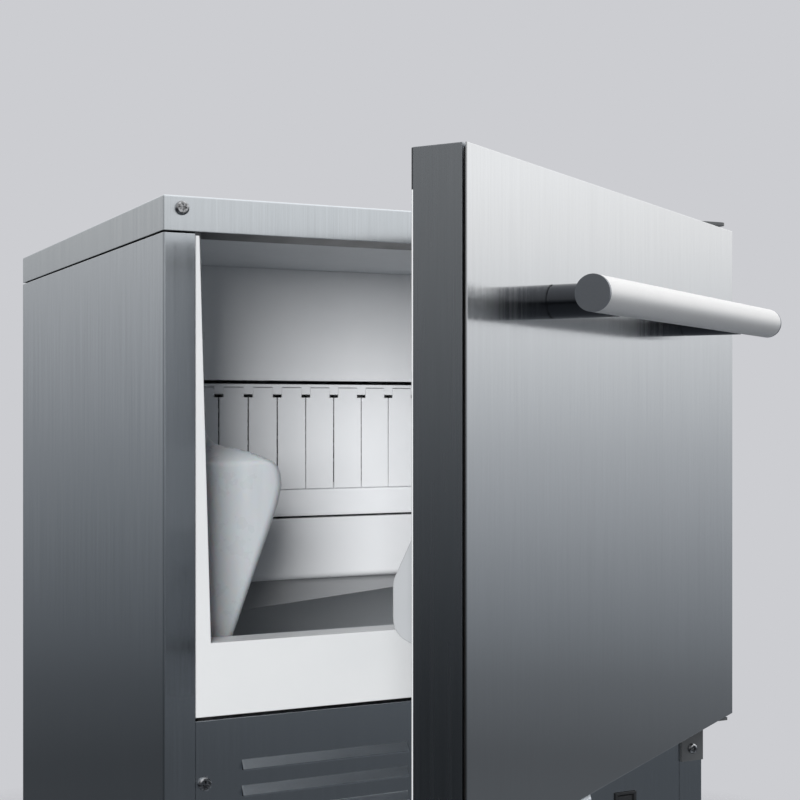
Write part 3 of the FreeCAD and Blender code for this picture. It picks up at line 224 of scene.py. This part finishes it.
def painted_shade_split(name, colour, other, axis, start, stop, roughness=0.42):
    """Moulding that turns to a painted shade colour between two places along one axis."""
    finish = Finish(name, colour, roughness)
    mix = finish.shaded(finish.noise(9, detail=4), 0.035, (0.99, 0.995, 1.0))
    split = finish.node("ShaderNodeSeparateXYZ")
    finish.link(finish.places, split.inputs["Vector"])
    change = finish.node("ShaderNodeMix", data_type="RGBA")
    change.inputs[7].default_value = (*other, 1)
    finish.link(mix.outputs[2], change.inputs[6])
    finish.link(finish.ranged(split.outputs[axis], 0, 1, start, stop), change.inputs[0])
    finish.link(change.outputs[2], finish.shader.inputs["Base Color"])
    mould_skin(finish, 0.3)
    return finish.material


def milky(name, colour):
    """Cloudy polypropylene: light spreads inside its walls and the flow lines show."""
    finish = Finish(name, colour, 0.30, IOR=1.46, Subsurface_Weight=0.35, Subsurface_Scale=0.008)
    finish.shaded(finish.noise((70, 70, 8), detail=3), 0.07, (0.98, 0.99, 1.0))
    finish.varied_gloss(finish.noise(60, detail=3), 0.06)
    ripple = finish.bump(finish.noise((90, 90, 12), detail=2), 0.12, 0.0006)
    finish.bump(finish.noise(900), 0.10, 0.00005, ripple)
    return finish.material


def soft_rubber(name, colour):
    finish = Finish(name, colour, 0.55, Sheen_Weight=0.15)
    finish.shaded(finish.noise(50, detail=4), 0.10)
    finish.varied_gloss(finish.noise(140), 0.06)
    finish.bump(finish.noise(1800), 0.2, 0.00005)
    return finish.material


def insulation(name):
    """Poured foam, coloured near black as painted shade where it shows through gaps: closed cells and a
    mottled skin.
    """
    finish = Finish(name, (0.055, 0.055, 0.058), 0.9)
    bubbles = finish.cells(420, "Distance")
    finish.shaded(finish.noise(35, detail=5), 0.25, (0.95, 0.9, 0.8))
    finish.varied_gloss(finish.noise(80), 0.08)
    finish.bump(bubbles, 0.5, 0.0006)
    return finish.material


FRAME_WHITE = (0.75, 0.76, 0.765)
CURTAIN_WHITE = (0.84, 0.85, 0.865)
HINGE_GREY = (0.10, 0.105, 0.11)
COPPER = (0.72, 0.42, 0.28)

side_steel = brushed("side_steel", (0.65, 0.695, 0.74), "Z", roughness=0.20, spread=1.0)
door_steel = brushed("door_steel", (0.675, 0.69, 0.705), "Z", roughness=0.14, spread=1.0, streak=0.07)
cap_steel = brushed("cap_steel", (0.725, 0.768, 0.805), "Z", roughness=0.24, spread=1.0)
zinc = galvanised("zinc")
white_frame = moulded("white_frame", FRAME_WHITE, 0.34)
# Above 0.8245 m the frame is painted near black: painted shade for the shadow gap under the cap's skirt.
# The liner bead on the door shares this material and darkens above the same level.
mouth_frame = painted_shade_split("mouth_frame", FRAME_WHITE, (0.03, 0.032, 0.035), "Z", 0.8243, 0.8247, 0.34)
white_curtain = moulded("white_curtain", CURTAIN_WHITE, 0.42)
pale_liner = moulded("pale_liner", (0.70, 0.725, 0.75), 0.42)
# Behind its fascia the sump is painted near black: painted shade for the shade under the fascia.
sump_plastic = painted_shade_split("sump_plastic", CURTAIN_WHITE, (0.07, 0.076, 0.085), "Y", -0.0424, -0.0418)
black_moulding = moulded("black_moulding", (0.025, 0.026, 0.028), 0.42)
pipe_plastic = moulded("pipe_plastic", (0.26, 0.27, 0.29), 0.45)
valve_plastic = moulded("valve_plastic", (0.80, 0.81, 0.80), 0.40)

MATERIALS = {
    "left_side_panel": side_steel,
    "right_side_panel": side_steel,
    "lower_front_panel": side_steel,
    "top_panel": cap_steel,
    "back_panel": zinc,
    "base_pan": zinc,
    "fan_shroud": zinc,
    "fan_motor": zinc,
    "panel_screws": chrome("screw_chrome"),
    "hinge_screws": chrome("hinge_screw_chrome"),
    "top_hinge_bracket": painted("hinge_enamel", HINGE_GREY),
    "bottom_hinge_bracket": painted("hinge_enamel_low", HINGE_GREY),
    "front_frame": mouth_frame,
    "scoop_hook": white_frame,
    "bin_liner": pale_liner,
    "evaporator_cover": white_curtain,
    "curtain_frame": white_curtain,
    "water_sump": sump_plastic,
    "ice_ramp": pipe_plastic,
    "spray_manifold": pipe_plastic,
    "drain_fitting": pipe_plastic,
    "circulation_pump": black_moulding,
    "electrical_box": black_moulding,
    "cord_gland": black_moulding,
    "fan_blade": black_moulding,
    "power_switch": black_moulding,
    "foot_front_left": black_moulding,
    "foot_front_right": black_moulding,
    "foot_rear_left": black_moulding,
    "foot_rear_right": black_moulding,
    "water_inlet_valve": valve_plastic,
    "hinge_bushes": valve_plastic,
    "bin_sensor": copper_tube("sensor_copper", COPPER),
    "evaporator_coil": copper_tube("coil_copper", COPPER),
    "evaporator": copper_tube("tinned_copper", (0.72, 0.68, 0.64)),
    "compressor": painted("compressor_enamel", (0.03, 0.03, 0.033), 0.35),
    "condenser": fin_stack("condenser_fins"),
    "foam_insulation": insulation("foam"),
    "door_foam": insulation("door_foam_fill"),
    "ice_scoop": milky("scoop_plastic", (0.58, 0.605, 0.625)),
    "door_skin": door_steel,
    # The door's edge steel is much darker than the other steel: painted shade on the door's edges.
    "door_wrap": brushed("door_edge_steel", (0.37, 0.395, 0.42), "Z", roughness=0.26, spread=0.9),
    # The white door liner is coloured mid grey: painted shade for the light its inner side lacks.
    "door_liner": moulded("door_liner_shaded", (0.46, 0.475, 0.49), 0.36),
    "door_gasket": soft_rubber("gasket_rubber", (0.16, 0.165, 0.17)),
    "handle_bar": turned("bar_satin", (0.98, 0.98, 0.98), 0.40, metallic=0.35),
    "handle_end_caps": turned("cap_satin", (0.30, 0.32, 0.35), 0.45),
    # The posts are coloured near black: a painted reflection of dark surroundings, which their mirror
    # image in the door repeats.
    "handle_posts": turned("post_satin", (0.085, 0.09, 0.10), 0.12),
}
for number in range(1, 14):
    MATERIALS[f"flap_{number:02d}"] = white_curtain


def dress_nodes():
    for name, node in NODES.items():
        node.data.materials.clear()
        node.data.materials.append(MATERIALS[name])


dress_nodes()


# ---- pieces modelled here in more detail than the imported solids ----

FLAP_COUNT = 13
FLAP_PITCH = 0.0347
FLAP_HALF = 0.01692
TONGUE_HALF = 0.0119
FLAP_LOW = 0.5764
FLAP_SHOULDER = 0.6800
FLAP_TOP = 0.6909
FLAP_HINGE = 0.6885
FLAP_FACE = -0.03890
FLAP_WALL = 0.0019
SLIT_WIDENING = 0.0005
LARGEST_LEAN = math.radians(0.28)
LEAF_EDGE = 0.0004


def mesh_piece(name, shape, material, smooth_angle=40):
    """A new object from a bmesh, with its normals made consistent."""
    bmesh.ops.recalc_face_normals(shape, faces=shape.faces)
    mesh = bpy.data.meshes.new(name)
    shape.to_mesh(mesh)
    shape.free()
    mesh.polygons.foreach_set("use_smooth", [True] * len(mesh.polygons))
    mesh.set_sharp_from_angle(angle=math.radians(smooth_angle))
    mesh.materials.append(material)
    piece = bpy.data.objects.new(name, mesh)
    bpy.context.scene.collection.objects.link(piece)
    return piece


def add_slab(shape, outline, depth):
    """Adds an outline, a list of 3-D points, grown along a vector."""
    near = [shape.verts.new(point) for point in outline]
    far = [shape.verts.new(Vector(point) + Vector(depth)) for point in outline]
    count = len(outline)
    shape.faces.new(near)
    shape.faces.new(reversed(far))
    for i in range(count):
        following = (i + 1) % count
        shape.faces.new((near[following], near[i], far[i], far[following]))


def ease(shape, width):
    """Bevels every crisp edge, which is one that turns by more than 0.6 radians."""
    crisp = [edge for edge in shape.edges if len(edge.link_faces) == 2 and edge.calc_face_angle(0) > 0.6]
    bmesh.ops.bevel(shape, geom=crisp, offset=width, segments=2, profile=0.6, affect="EDGES")


def flap_leaf(number):
    """A T-topped leaf; each hangs a hair out of line, and the slits widen towards the left."""
    middle = FLAP_PITCH * (number - (FLAP_COUNT + 1) / 2)
    lean = LARGEST_LEAN * math.sin(number * 2.3)
    half = FLAP_HALF - SLIT_WIDENING * (FLAP_COUNT - number) / FLAP_COUNT
    outline = [(-half, FLAP_LOW), (half, FLAP_LOW), (half, FLAP_SHOULDER), (TONGUE_HALF, FLAP_SHOULDER),
               (TONGUE_HALF, FLAP_TOP), (-TONGUE_HALF, FLAP_TOP), (-TONGUE_HALF, FLAP_SHOULDER),
               (-half, FLAP_SHOULDER)]
    shape = bmesh.new()
    points = []
    for x, z in outline:
        drop = FLAP_HINGE - z
        points.append((middle + x - drop * math.tan(lean) * 0.5, FLAP_FACE, z))
    add_slab(shape, points, (0, FLAP_WALL, 0))
    ease(shape, LEAF_EDGE)
    piece = mesh_piece(f"leaf_{number:02d}", shape, MATERIALS[f"flap_{number:02d}"])
    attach(piece, f"flap_{number:02d}")
    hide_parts(f"flap_{number:02d}")


def section_loop(x_low, x_high, y_middle, y_half, radius, steps=6):
    """Points round a rounded rectangle in plan."""
    left, right = x_low + radius, x_high - radius
    near, far = y_middle - y_half + radius, y_middle + y_half - radius
    corners = [(right, far, 0), (left, far, 1), (left, near, 2), (right, near, 3)]
    loop = []
    for x, y, quarter in corners:
        for step in range(steps + 1):
            angle = math.radians(90 * quarter + 90 * step / steps)
            loop.append((x + radius * math.cos(angle), y + radius * math.sin(angle)))
    return loop


def loft(shape, sections, closed=True):
    """Adds a skin through sections, each a level and its points in plan."""
    rings = [[shape.verts.new((x, y, z)) for x, y in points] for z, points in sections]
    count = len(rings[0])
    for low, high in zip(rings, rings[1:]):
        for i in range(count if closed else count - 1):
            following = (i + 1) % count
            shape.faces.new((low[i], low[following], high[following], high[i]))
    return rings


SCOOP_BACK = -0.2503
SCOOP_MIDDLE = -0.1975
SCOOP_HALF = 0.0473
SCOOP_WALL = 0.0022
SCOOP_HEAD_LEVELS = (0.742, 0.758)
SCOOP_HEAD_REACH = 0.011
SCOOP_HEAD_HALF = 0.027

# Each row is a level, the reach from the back, half the width and the corner radius.
SCOOP_BOWL = (
    (0.392, 0.0190, 0.0430, 0.006),
    (0.420, 0.0300, 0.0455, 0.008),
    (0.480, 0.0529, 0.0465, 0.010),
    (0.540, 0.0753, 0.0470, 0.011),
    (0.574, 0.0881, SCOOP_HALF, 0.012),
    (0.592, 0.0919, SCOOP_HALF, 0.012),
    (0.604, 0.0905, SCOOP_HALF, 0.012),
    (0.610, 0.0881, SCOOP_HALF, 0.012),
)
SCOOP_ROOF = (
    SCOOP_BOWL[-1],
    (0.6145, 0.0845, 0.0465, 0.012),
    (0.6170, 0.0805, 0.0445, 0.012),
    (0.6205, 0.0730, 0.0405, 0.012),
    (0.6245, 0.0640, 0.0350, 0.012),
    (0.6280, 0.0520, 0.0290, 0.011),
    (0.6300, 0.0400, 0.0235, 0.010),
    (0.6330, 0.0310, 0.0195, 0.008),
    (0.6400, 0.0240, 0.0172, 0.006),
    (0.6560, 0.0165, 0.0155, 0.005),
    (0.6750, 0.0120, 0.0150, 0.004),
    (0.7400, 0.0110, 0.0150, 0.004),
)


def scoop_sections(rows):
    """The scoop's rows as levels and rounded sections in plan."""
    sections = []
    for z, reach, half, radius in rows:
        sections.append((z, section_loop(SCOOP_BACK, SCOOP_BACK + reach, SCOOP_MIDDLE, half, radius)))
    return sections


def scoop():
    """Hanging scoop in cloudy plastic: a bowl open to the right, a closed roof, a strap and a head."""
    shape = bmesh.new()
    loft(shape, scoop_sections(SCOOP_BOWL), closed=False)
    strap = loft(shape, scoop_sections(SCOOP_ROOF))
    shape.faces.new(strap[-1])
    bmesh.ops.remove_doubles(shape, verts=shape.verts, dist=0.00005)
    head = section_loop(SCOOP_BACK, SCOOP_BACK + SCOOP_HEAD_REACH, SCOOP_MIDDLE, SCOOP_HEAD_HALF, 0.004)
    rings = loft(shape, [(level, head) for level in SCOOP_HEAD_LEVELS])
    shape.faces.new(rings[0])
    shape.faces.new(rings[-1])
    piece = mesh_piece("scoop", shape, MATERIALS["ice_scoop"], 50)
    wall = piece.modifiers.new("wall", "SOLIDIFY")
    wall.thickness = SCOOP_WALL
    wall.offset = -1
    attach(piece, "scoop")
    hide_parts("ice_scoop")


# The door's hinge line and how far it stands open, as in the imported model; its slab is 22 mm deep
# from the hinge line to the inner face. Each edge is left, right, low and high in the door's frame.
DOOR_HINGE = Vector((0.285, -0.334, 0))
DOOR_ANGLE = math.radians(33.45)
DOOR_INNER_FACE = 0.022
GASKET_EDGE = (-0.573, 0.0, 0.3935, 0.839)
LINER_EDGE = (-0.585, 0.015, 0.345, 0.855)


def on_door(x, y, z):
    """A place in the door's own frame, about its hinge, as a place in the room."""
    along = Vector((math.cos(DOOR_ANGLE), math.sin(DOOR_ANGLE), 0))
    across = Vector((-math.sin(DOOR_ANGLE), math.cos(DOOR_ANGLE), 0))
    return DOOR_HINGE + along * x + across * y + Vector((0, 0, z))


def door_ring(name, edge, profile, material):
    """A mitred frame on the inside of the door: profile is inset from the edge and height off the door."""
    left, right, low, high = edge
    shape = bmesh.new()
    rings = []
    for inset, height in profile:
        corners = ((left + inset, low + inset), (right - inset, low + inset),
                   (right - inset, high - inset), (left + inset, high - inset))
        rings.append([shape.verts.new(on_door(x, DOOR_INNER_FACE + height, z)) for x, z in corners])
    count = len(profile)
    for i in range(count):
        first, second = rings[i], rings[(i + 1) % count]
        for corner in range(4):
            following = (corner + 1) % 4
            shape.faces.new((first[corner], first[following], second[following], second[corner]))
    piece = mesh_piece(name, shape, material)
    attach(piece, "door")
    return piece


def gasket():
    """Magnetic gasket with a bellows fold, and the narrow pale bead of the liner along the door's edge."""
    fold = ((0, 0), (0, 0.0016), (0.0022, 0.0022), (0.0030, 0.0040), (0.0012, 0.0056), (0.0022, 0.0065),
            (0.0118, 0.0065), (0.0128, 0.0056), (0.0112, 0.0040), (0.0120, 0.0022), (0.0140, 0.0016),
            (0.0140, 0))
    ring = door_ring("gasket", GASKET_EDGE, fold, MATERIALS["door_gasket"])
    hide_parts("door_gasket")
    bead = ((0.0002, -0.0010), (0.0002, 0.0012), (0.0008, 0.0017), (0.0026, 0.0017), (0.0034, 0.0010),
            (0.0034, -0.0010))
    rim = door_ring("liner_bead", LINER_EDGE, bead, MATERIALS["front_frame"])


for flap_number in range(1, FLAP_COUNT + 1):
    flap_leaf(flap_number)
scoop()
gasket()


# ---- stage ----

BACKDROP = (0.604, 0.610, 0.638)
FILL = (0.085, 0.090, 0.100)
REFLECTED_LOW = (1.86, 2.0, 2.17)
REFLECTED_HIGH = (1.955, 1.95, 1.95)
SIDE_LIGHT = (0.36, 0.04, 0)
SIDE_LEVEL = 0.68
FLOOR_RADIUS = 1.1
FLOOR_FADE = (0.55, 1.05)
LENS = 65.64
LENS_SHIFT = 0.013
CAMERA_PLACE = (-0.6843, -1.5773, 0.66545)
CAMERA_TURN = math.radians(-26.03)

# How bright the reflected studio is at each rise, where -1 is straight down and 1 straight up.
BRIGHTNESS_STEPS = (
    (-1.0, 0.28), (-0.5, 0.28), (-0.38, 0.22), (-0.28, 0.12), (-0.23, 0.11), (-0.18, 0.165), (-0.10, 0.33),
    (-0.028, 0.51), (0.042, 0.75), (0.11, 1.0), (0.16, 1.15), (0.5, 1.4), (1.0, 1.6),
)


def disc(name, radius):
    mesh = bpy.data.meshes.new(name)
    shape = bmesh.new()
    bmesh.ops.create_circle(shape, cap_ends=True, radius=radius, segments=96)
    shape.to_mesh(mesh)
    shape.free()
    piece = bpy.data.objects.new(name, mesh)
    bpy.context.scene.collection.objects.link(piece)
    return piece


def floor():
    """A plain pale floor that melts into the backdrop, kept out of the steel's reflections."""
    ground = disc("floor", FLOOR_RADIUS)
    finish = Finish("floor_paint", (0.60, 0.605, 0.62), 0.8)
    finish.shaded(finish.noise(3), 0.01)
    reach = finish.node("ShaderNodeVectorMath", operation="LENGTH")
    finish.link(finish.places, reach.inputs[0])
    finish.link(finish.ranged(reach.outputs["Value"], 1, 0, *FLOOR_FADE), finish.shader.inputs["Alpha"])
    ground.data.materials.append(finish.material)
    ground.visible_glossy = False


def brightness_by_height(tree, direction_z):
    """The studio's brightness for a ray, from its rise above the horizon."""
    spread = tree.nodes.new("ShaderNodeMapRange")
    spread.inputs["From Min"].default_value = -1
    tree.links.new(direction_z, spread.inputs["Value"])
    curve = tree.nodes.new("ShaderNodeFloatCurve")
    points = curve.mapping.curves[0].points
    while len(points) < len(BRIGHTNESS_STEPS):
        points.new(0.5, 0.5)
    for point, (height, light) in zip(points, BRIGHTNESS_STEPS):
        point.location = ((height + 1) / 2, light / 2)
        point.handle_type = "VECTOR"
    curve.mapping.update()
    tree.links.new(spread.outputs["Result"], curve.inputs["Value"])
    return curve.outputs["Value"]


def brightness_by_side(tree, direction):
    """Brighter towards +X, and a little towards the back; darker towards -X."""
    side = tree.nodes.new("ShaderNodeVectorMath")
    side.operation = "DOT_PRODUCT"
    side.inputs[1].default_value = SIDE_LIGHT
    tree.links.new(direction, side.inputs[0])
    level = tree.nodes.new("ShaderNodeMath")
    level.inputs[1].default_value = SIDE_LEVEL
    tree.links.new(side.outputs["Value"], level.inputs[0])
    return level.outputs["Value"]


def tint_by_height(tree, direction_z):
    """Cooler light from low down, neutral light from above."""
    make, link = tree.nodes.new, tree.links.new
    rise = make("ShaderNodeMapRange")
    rise.inputs["From Min"].default_value = -0.15
    rise.inputs["From Max"].default_value = 0.12
    link(direction_z, rise.inputs["Value"])
    tint = make("ShaderNodeMix")
    tint.data_type = "RGBA"
    tint.inputs[6].default_value = (*REFLECTED_LOW, 1)
    tint.inputs[7].default_value = (*REFLECTED_HIGH, 1)
    link(rise.outputs["Result"], tint.inputs[0])
    return tint.outputs[2]


def graded_studio(tree):
    """The background that reflections see."""
    make, link = tree.nodes.new, tree.links.new
    direction = make("ShaderNodeTexCoord").outputs["Generated"]
    split = make("ShaderNodeSeparateXYZ")
    link(direction, split.inputs["Vector"])
    strength = make("ShaderNodeMath")
    strength.operation = "MULTIPLY"
    link(brightness_by_height(tree, split.outputs["Z"]), strength.inputs[0])
    link(brightness_by_side(tree, direction), strength.inputs[1])
    graded = make("ShaderNodeBackground")
    link(tint_by_height(tree, split.outputs["Z"]), graded.inputs["Color"])
    link(strength.outputs["Value"], graded.inputs["Strength"])
    return graded


def studio():
    """Flat backdrop for the eye, a graded studio for reflections and a dim even fill for the rest."""
    world = bpy.data.worlds.new("studio")
    bpy.context.scene.world = world
    world.cycles.sampling_method = "NONE"
    world.use_nodes = True
    tree = world.node_tree
    tree.nodes.clear()
    make, link = tree.nodes.new, tree.links.new
    graded = graded_studio(tree)
    fill = make("ShaderNodeBackground")
    fill.inputs["Color"].default_value = (*FILL, 1)
    backdrop = make("ShaderNodeBackground")
    backdrop.inputs["Color"].default_value = (*BACKDROP, 1)
    rays = make("ShaderNodeLightPath")
    unseen = make("ShaderNodeMixShader")
    link(rays.outputs["Is Glossy Ray"], unseen.inputs["Fac"])
    link(fill.outputs["Background"], unseen.inputs[1])
    link(graded.outputs["Background"], unseen.inputs[2])
    seen = make("ShaderNodeMixShader")
    link(rays.outputs["Is Camera Ray"], seen.inputs["Fac"])
    link(unseen.outputs["Shader"], seen.inputs[1])
    link(backdrop.outputs["Background"], seen.inputs[2])
    output = make("ShaderNodeOutputWorld")
    link(seen.outputs["Shader"], output.inputs["Surface"])


def softbox(name, centre, target, width, height, power):
    """A soft rectangular light that shows in no reflection."""
    lamp = bpy.data.lights.new(name, "AREA")
    lamp.shape = "RECTANGLE"
    lamp.size = width
    lamp.size_y = height
    lamp.energy = power
    box = bpy.data.objects.new(name, lamp)
    bpy.context.scene.collection.objects.link(box)
    box.location = centre
    box.rotation_euler = (Vector(target) - Vector(centre)).to_track_quat("-Z", "Y").to_euler()
    box.visible_glossy = False


def camera():
    """Level camera off the front left corner; a small shift keeps the uprights parallel."""
    lens = bpy.data.cameras.new("camera")
    lens.sensor_width = 36
    lens.lens = LENS
    lens.shift_y = LENS_SHIFT
    lens.clip_end = 100
    view = bpy.data.objects.new("camera", lens)
    bpy.context.scene.collection.objects.link(view)
    view.location = CAMERA_PLACE
    view.rotation_euler = (math.radians(90), 0, CAMERA_TURN)
    bpy.context.scene.camera = view


floor()
studio()
softbox("key", (-3.63, -5.35, 2.35), (-0.05, -0.04, 0.65), 2.7, 3.5, 505)
softbox("overhead", (0.3, 0.6, 3.0), (0.1, -0.1, 0.5), 2.2, 2.2, 30)
camera()
bpy.context.scene.view_settings.view_transform = "Standard"
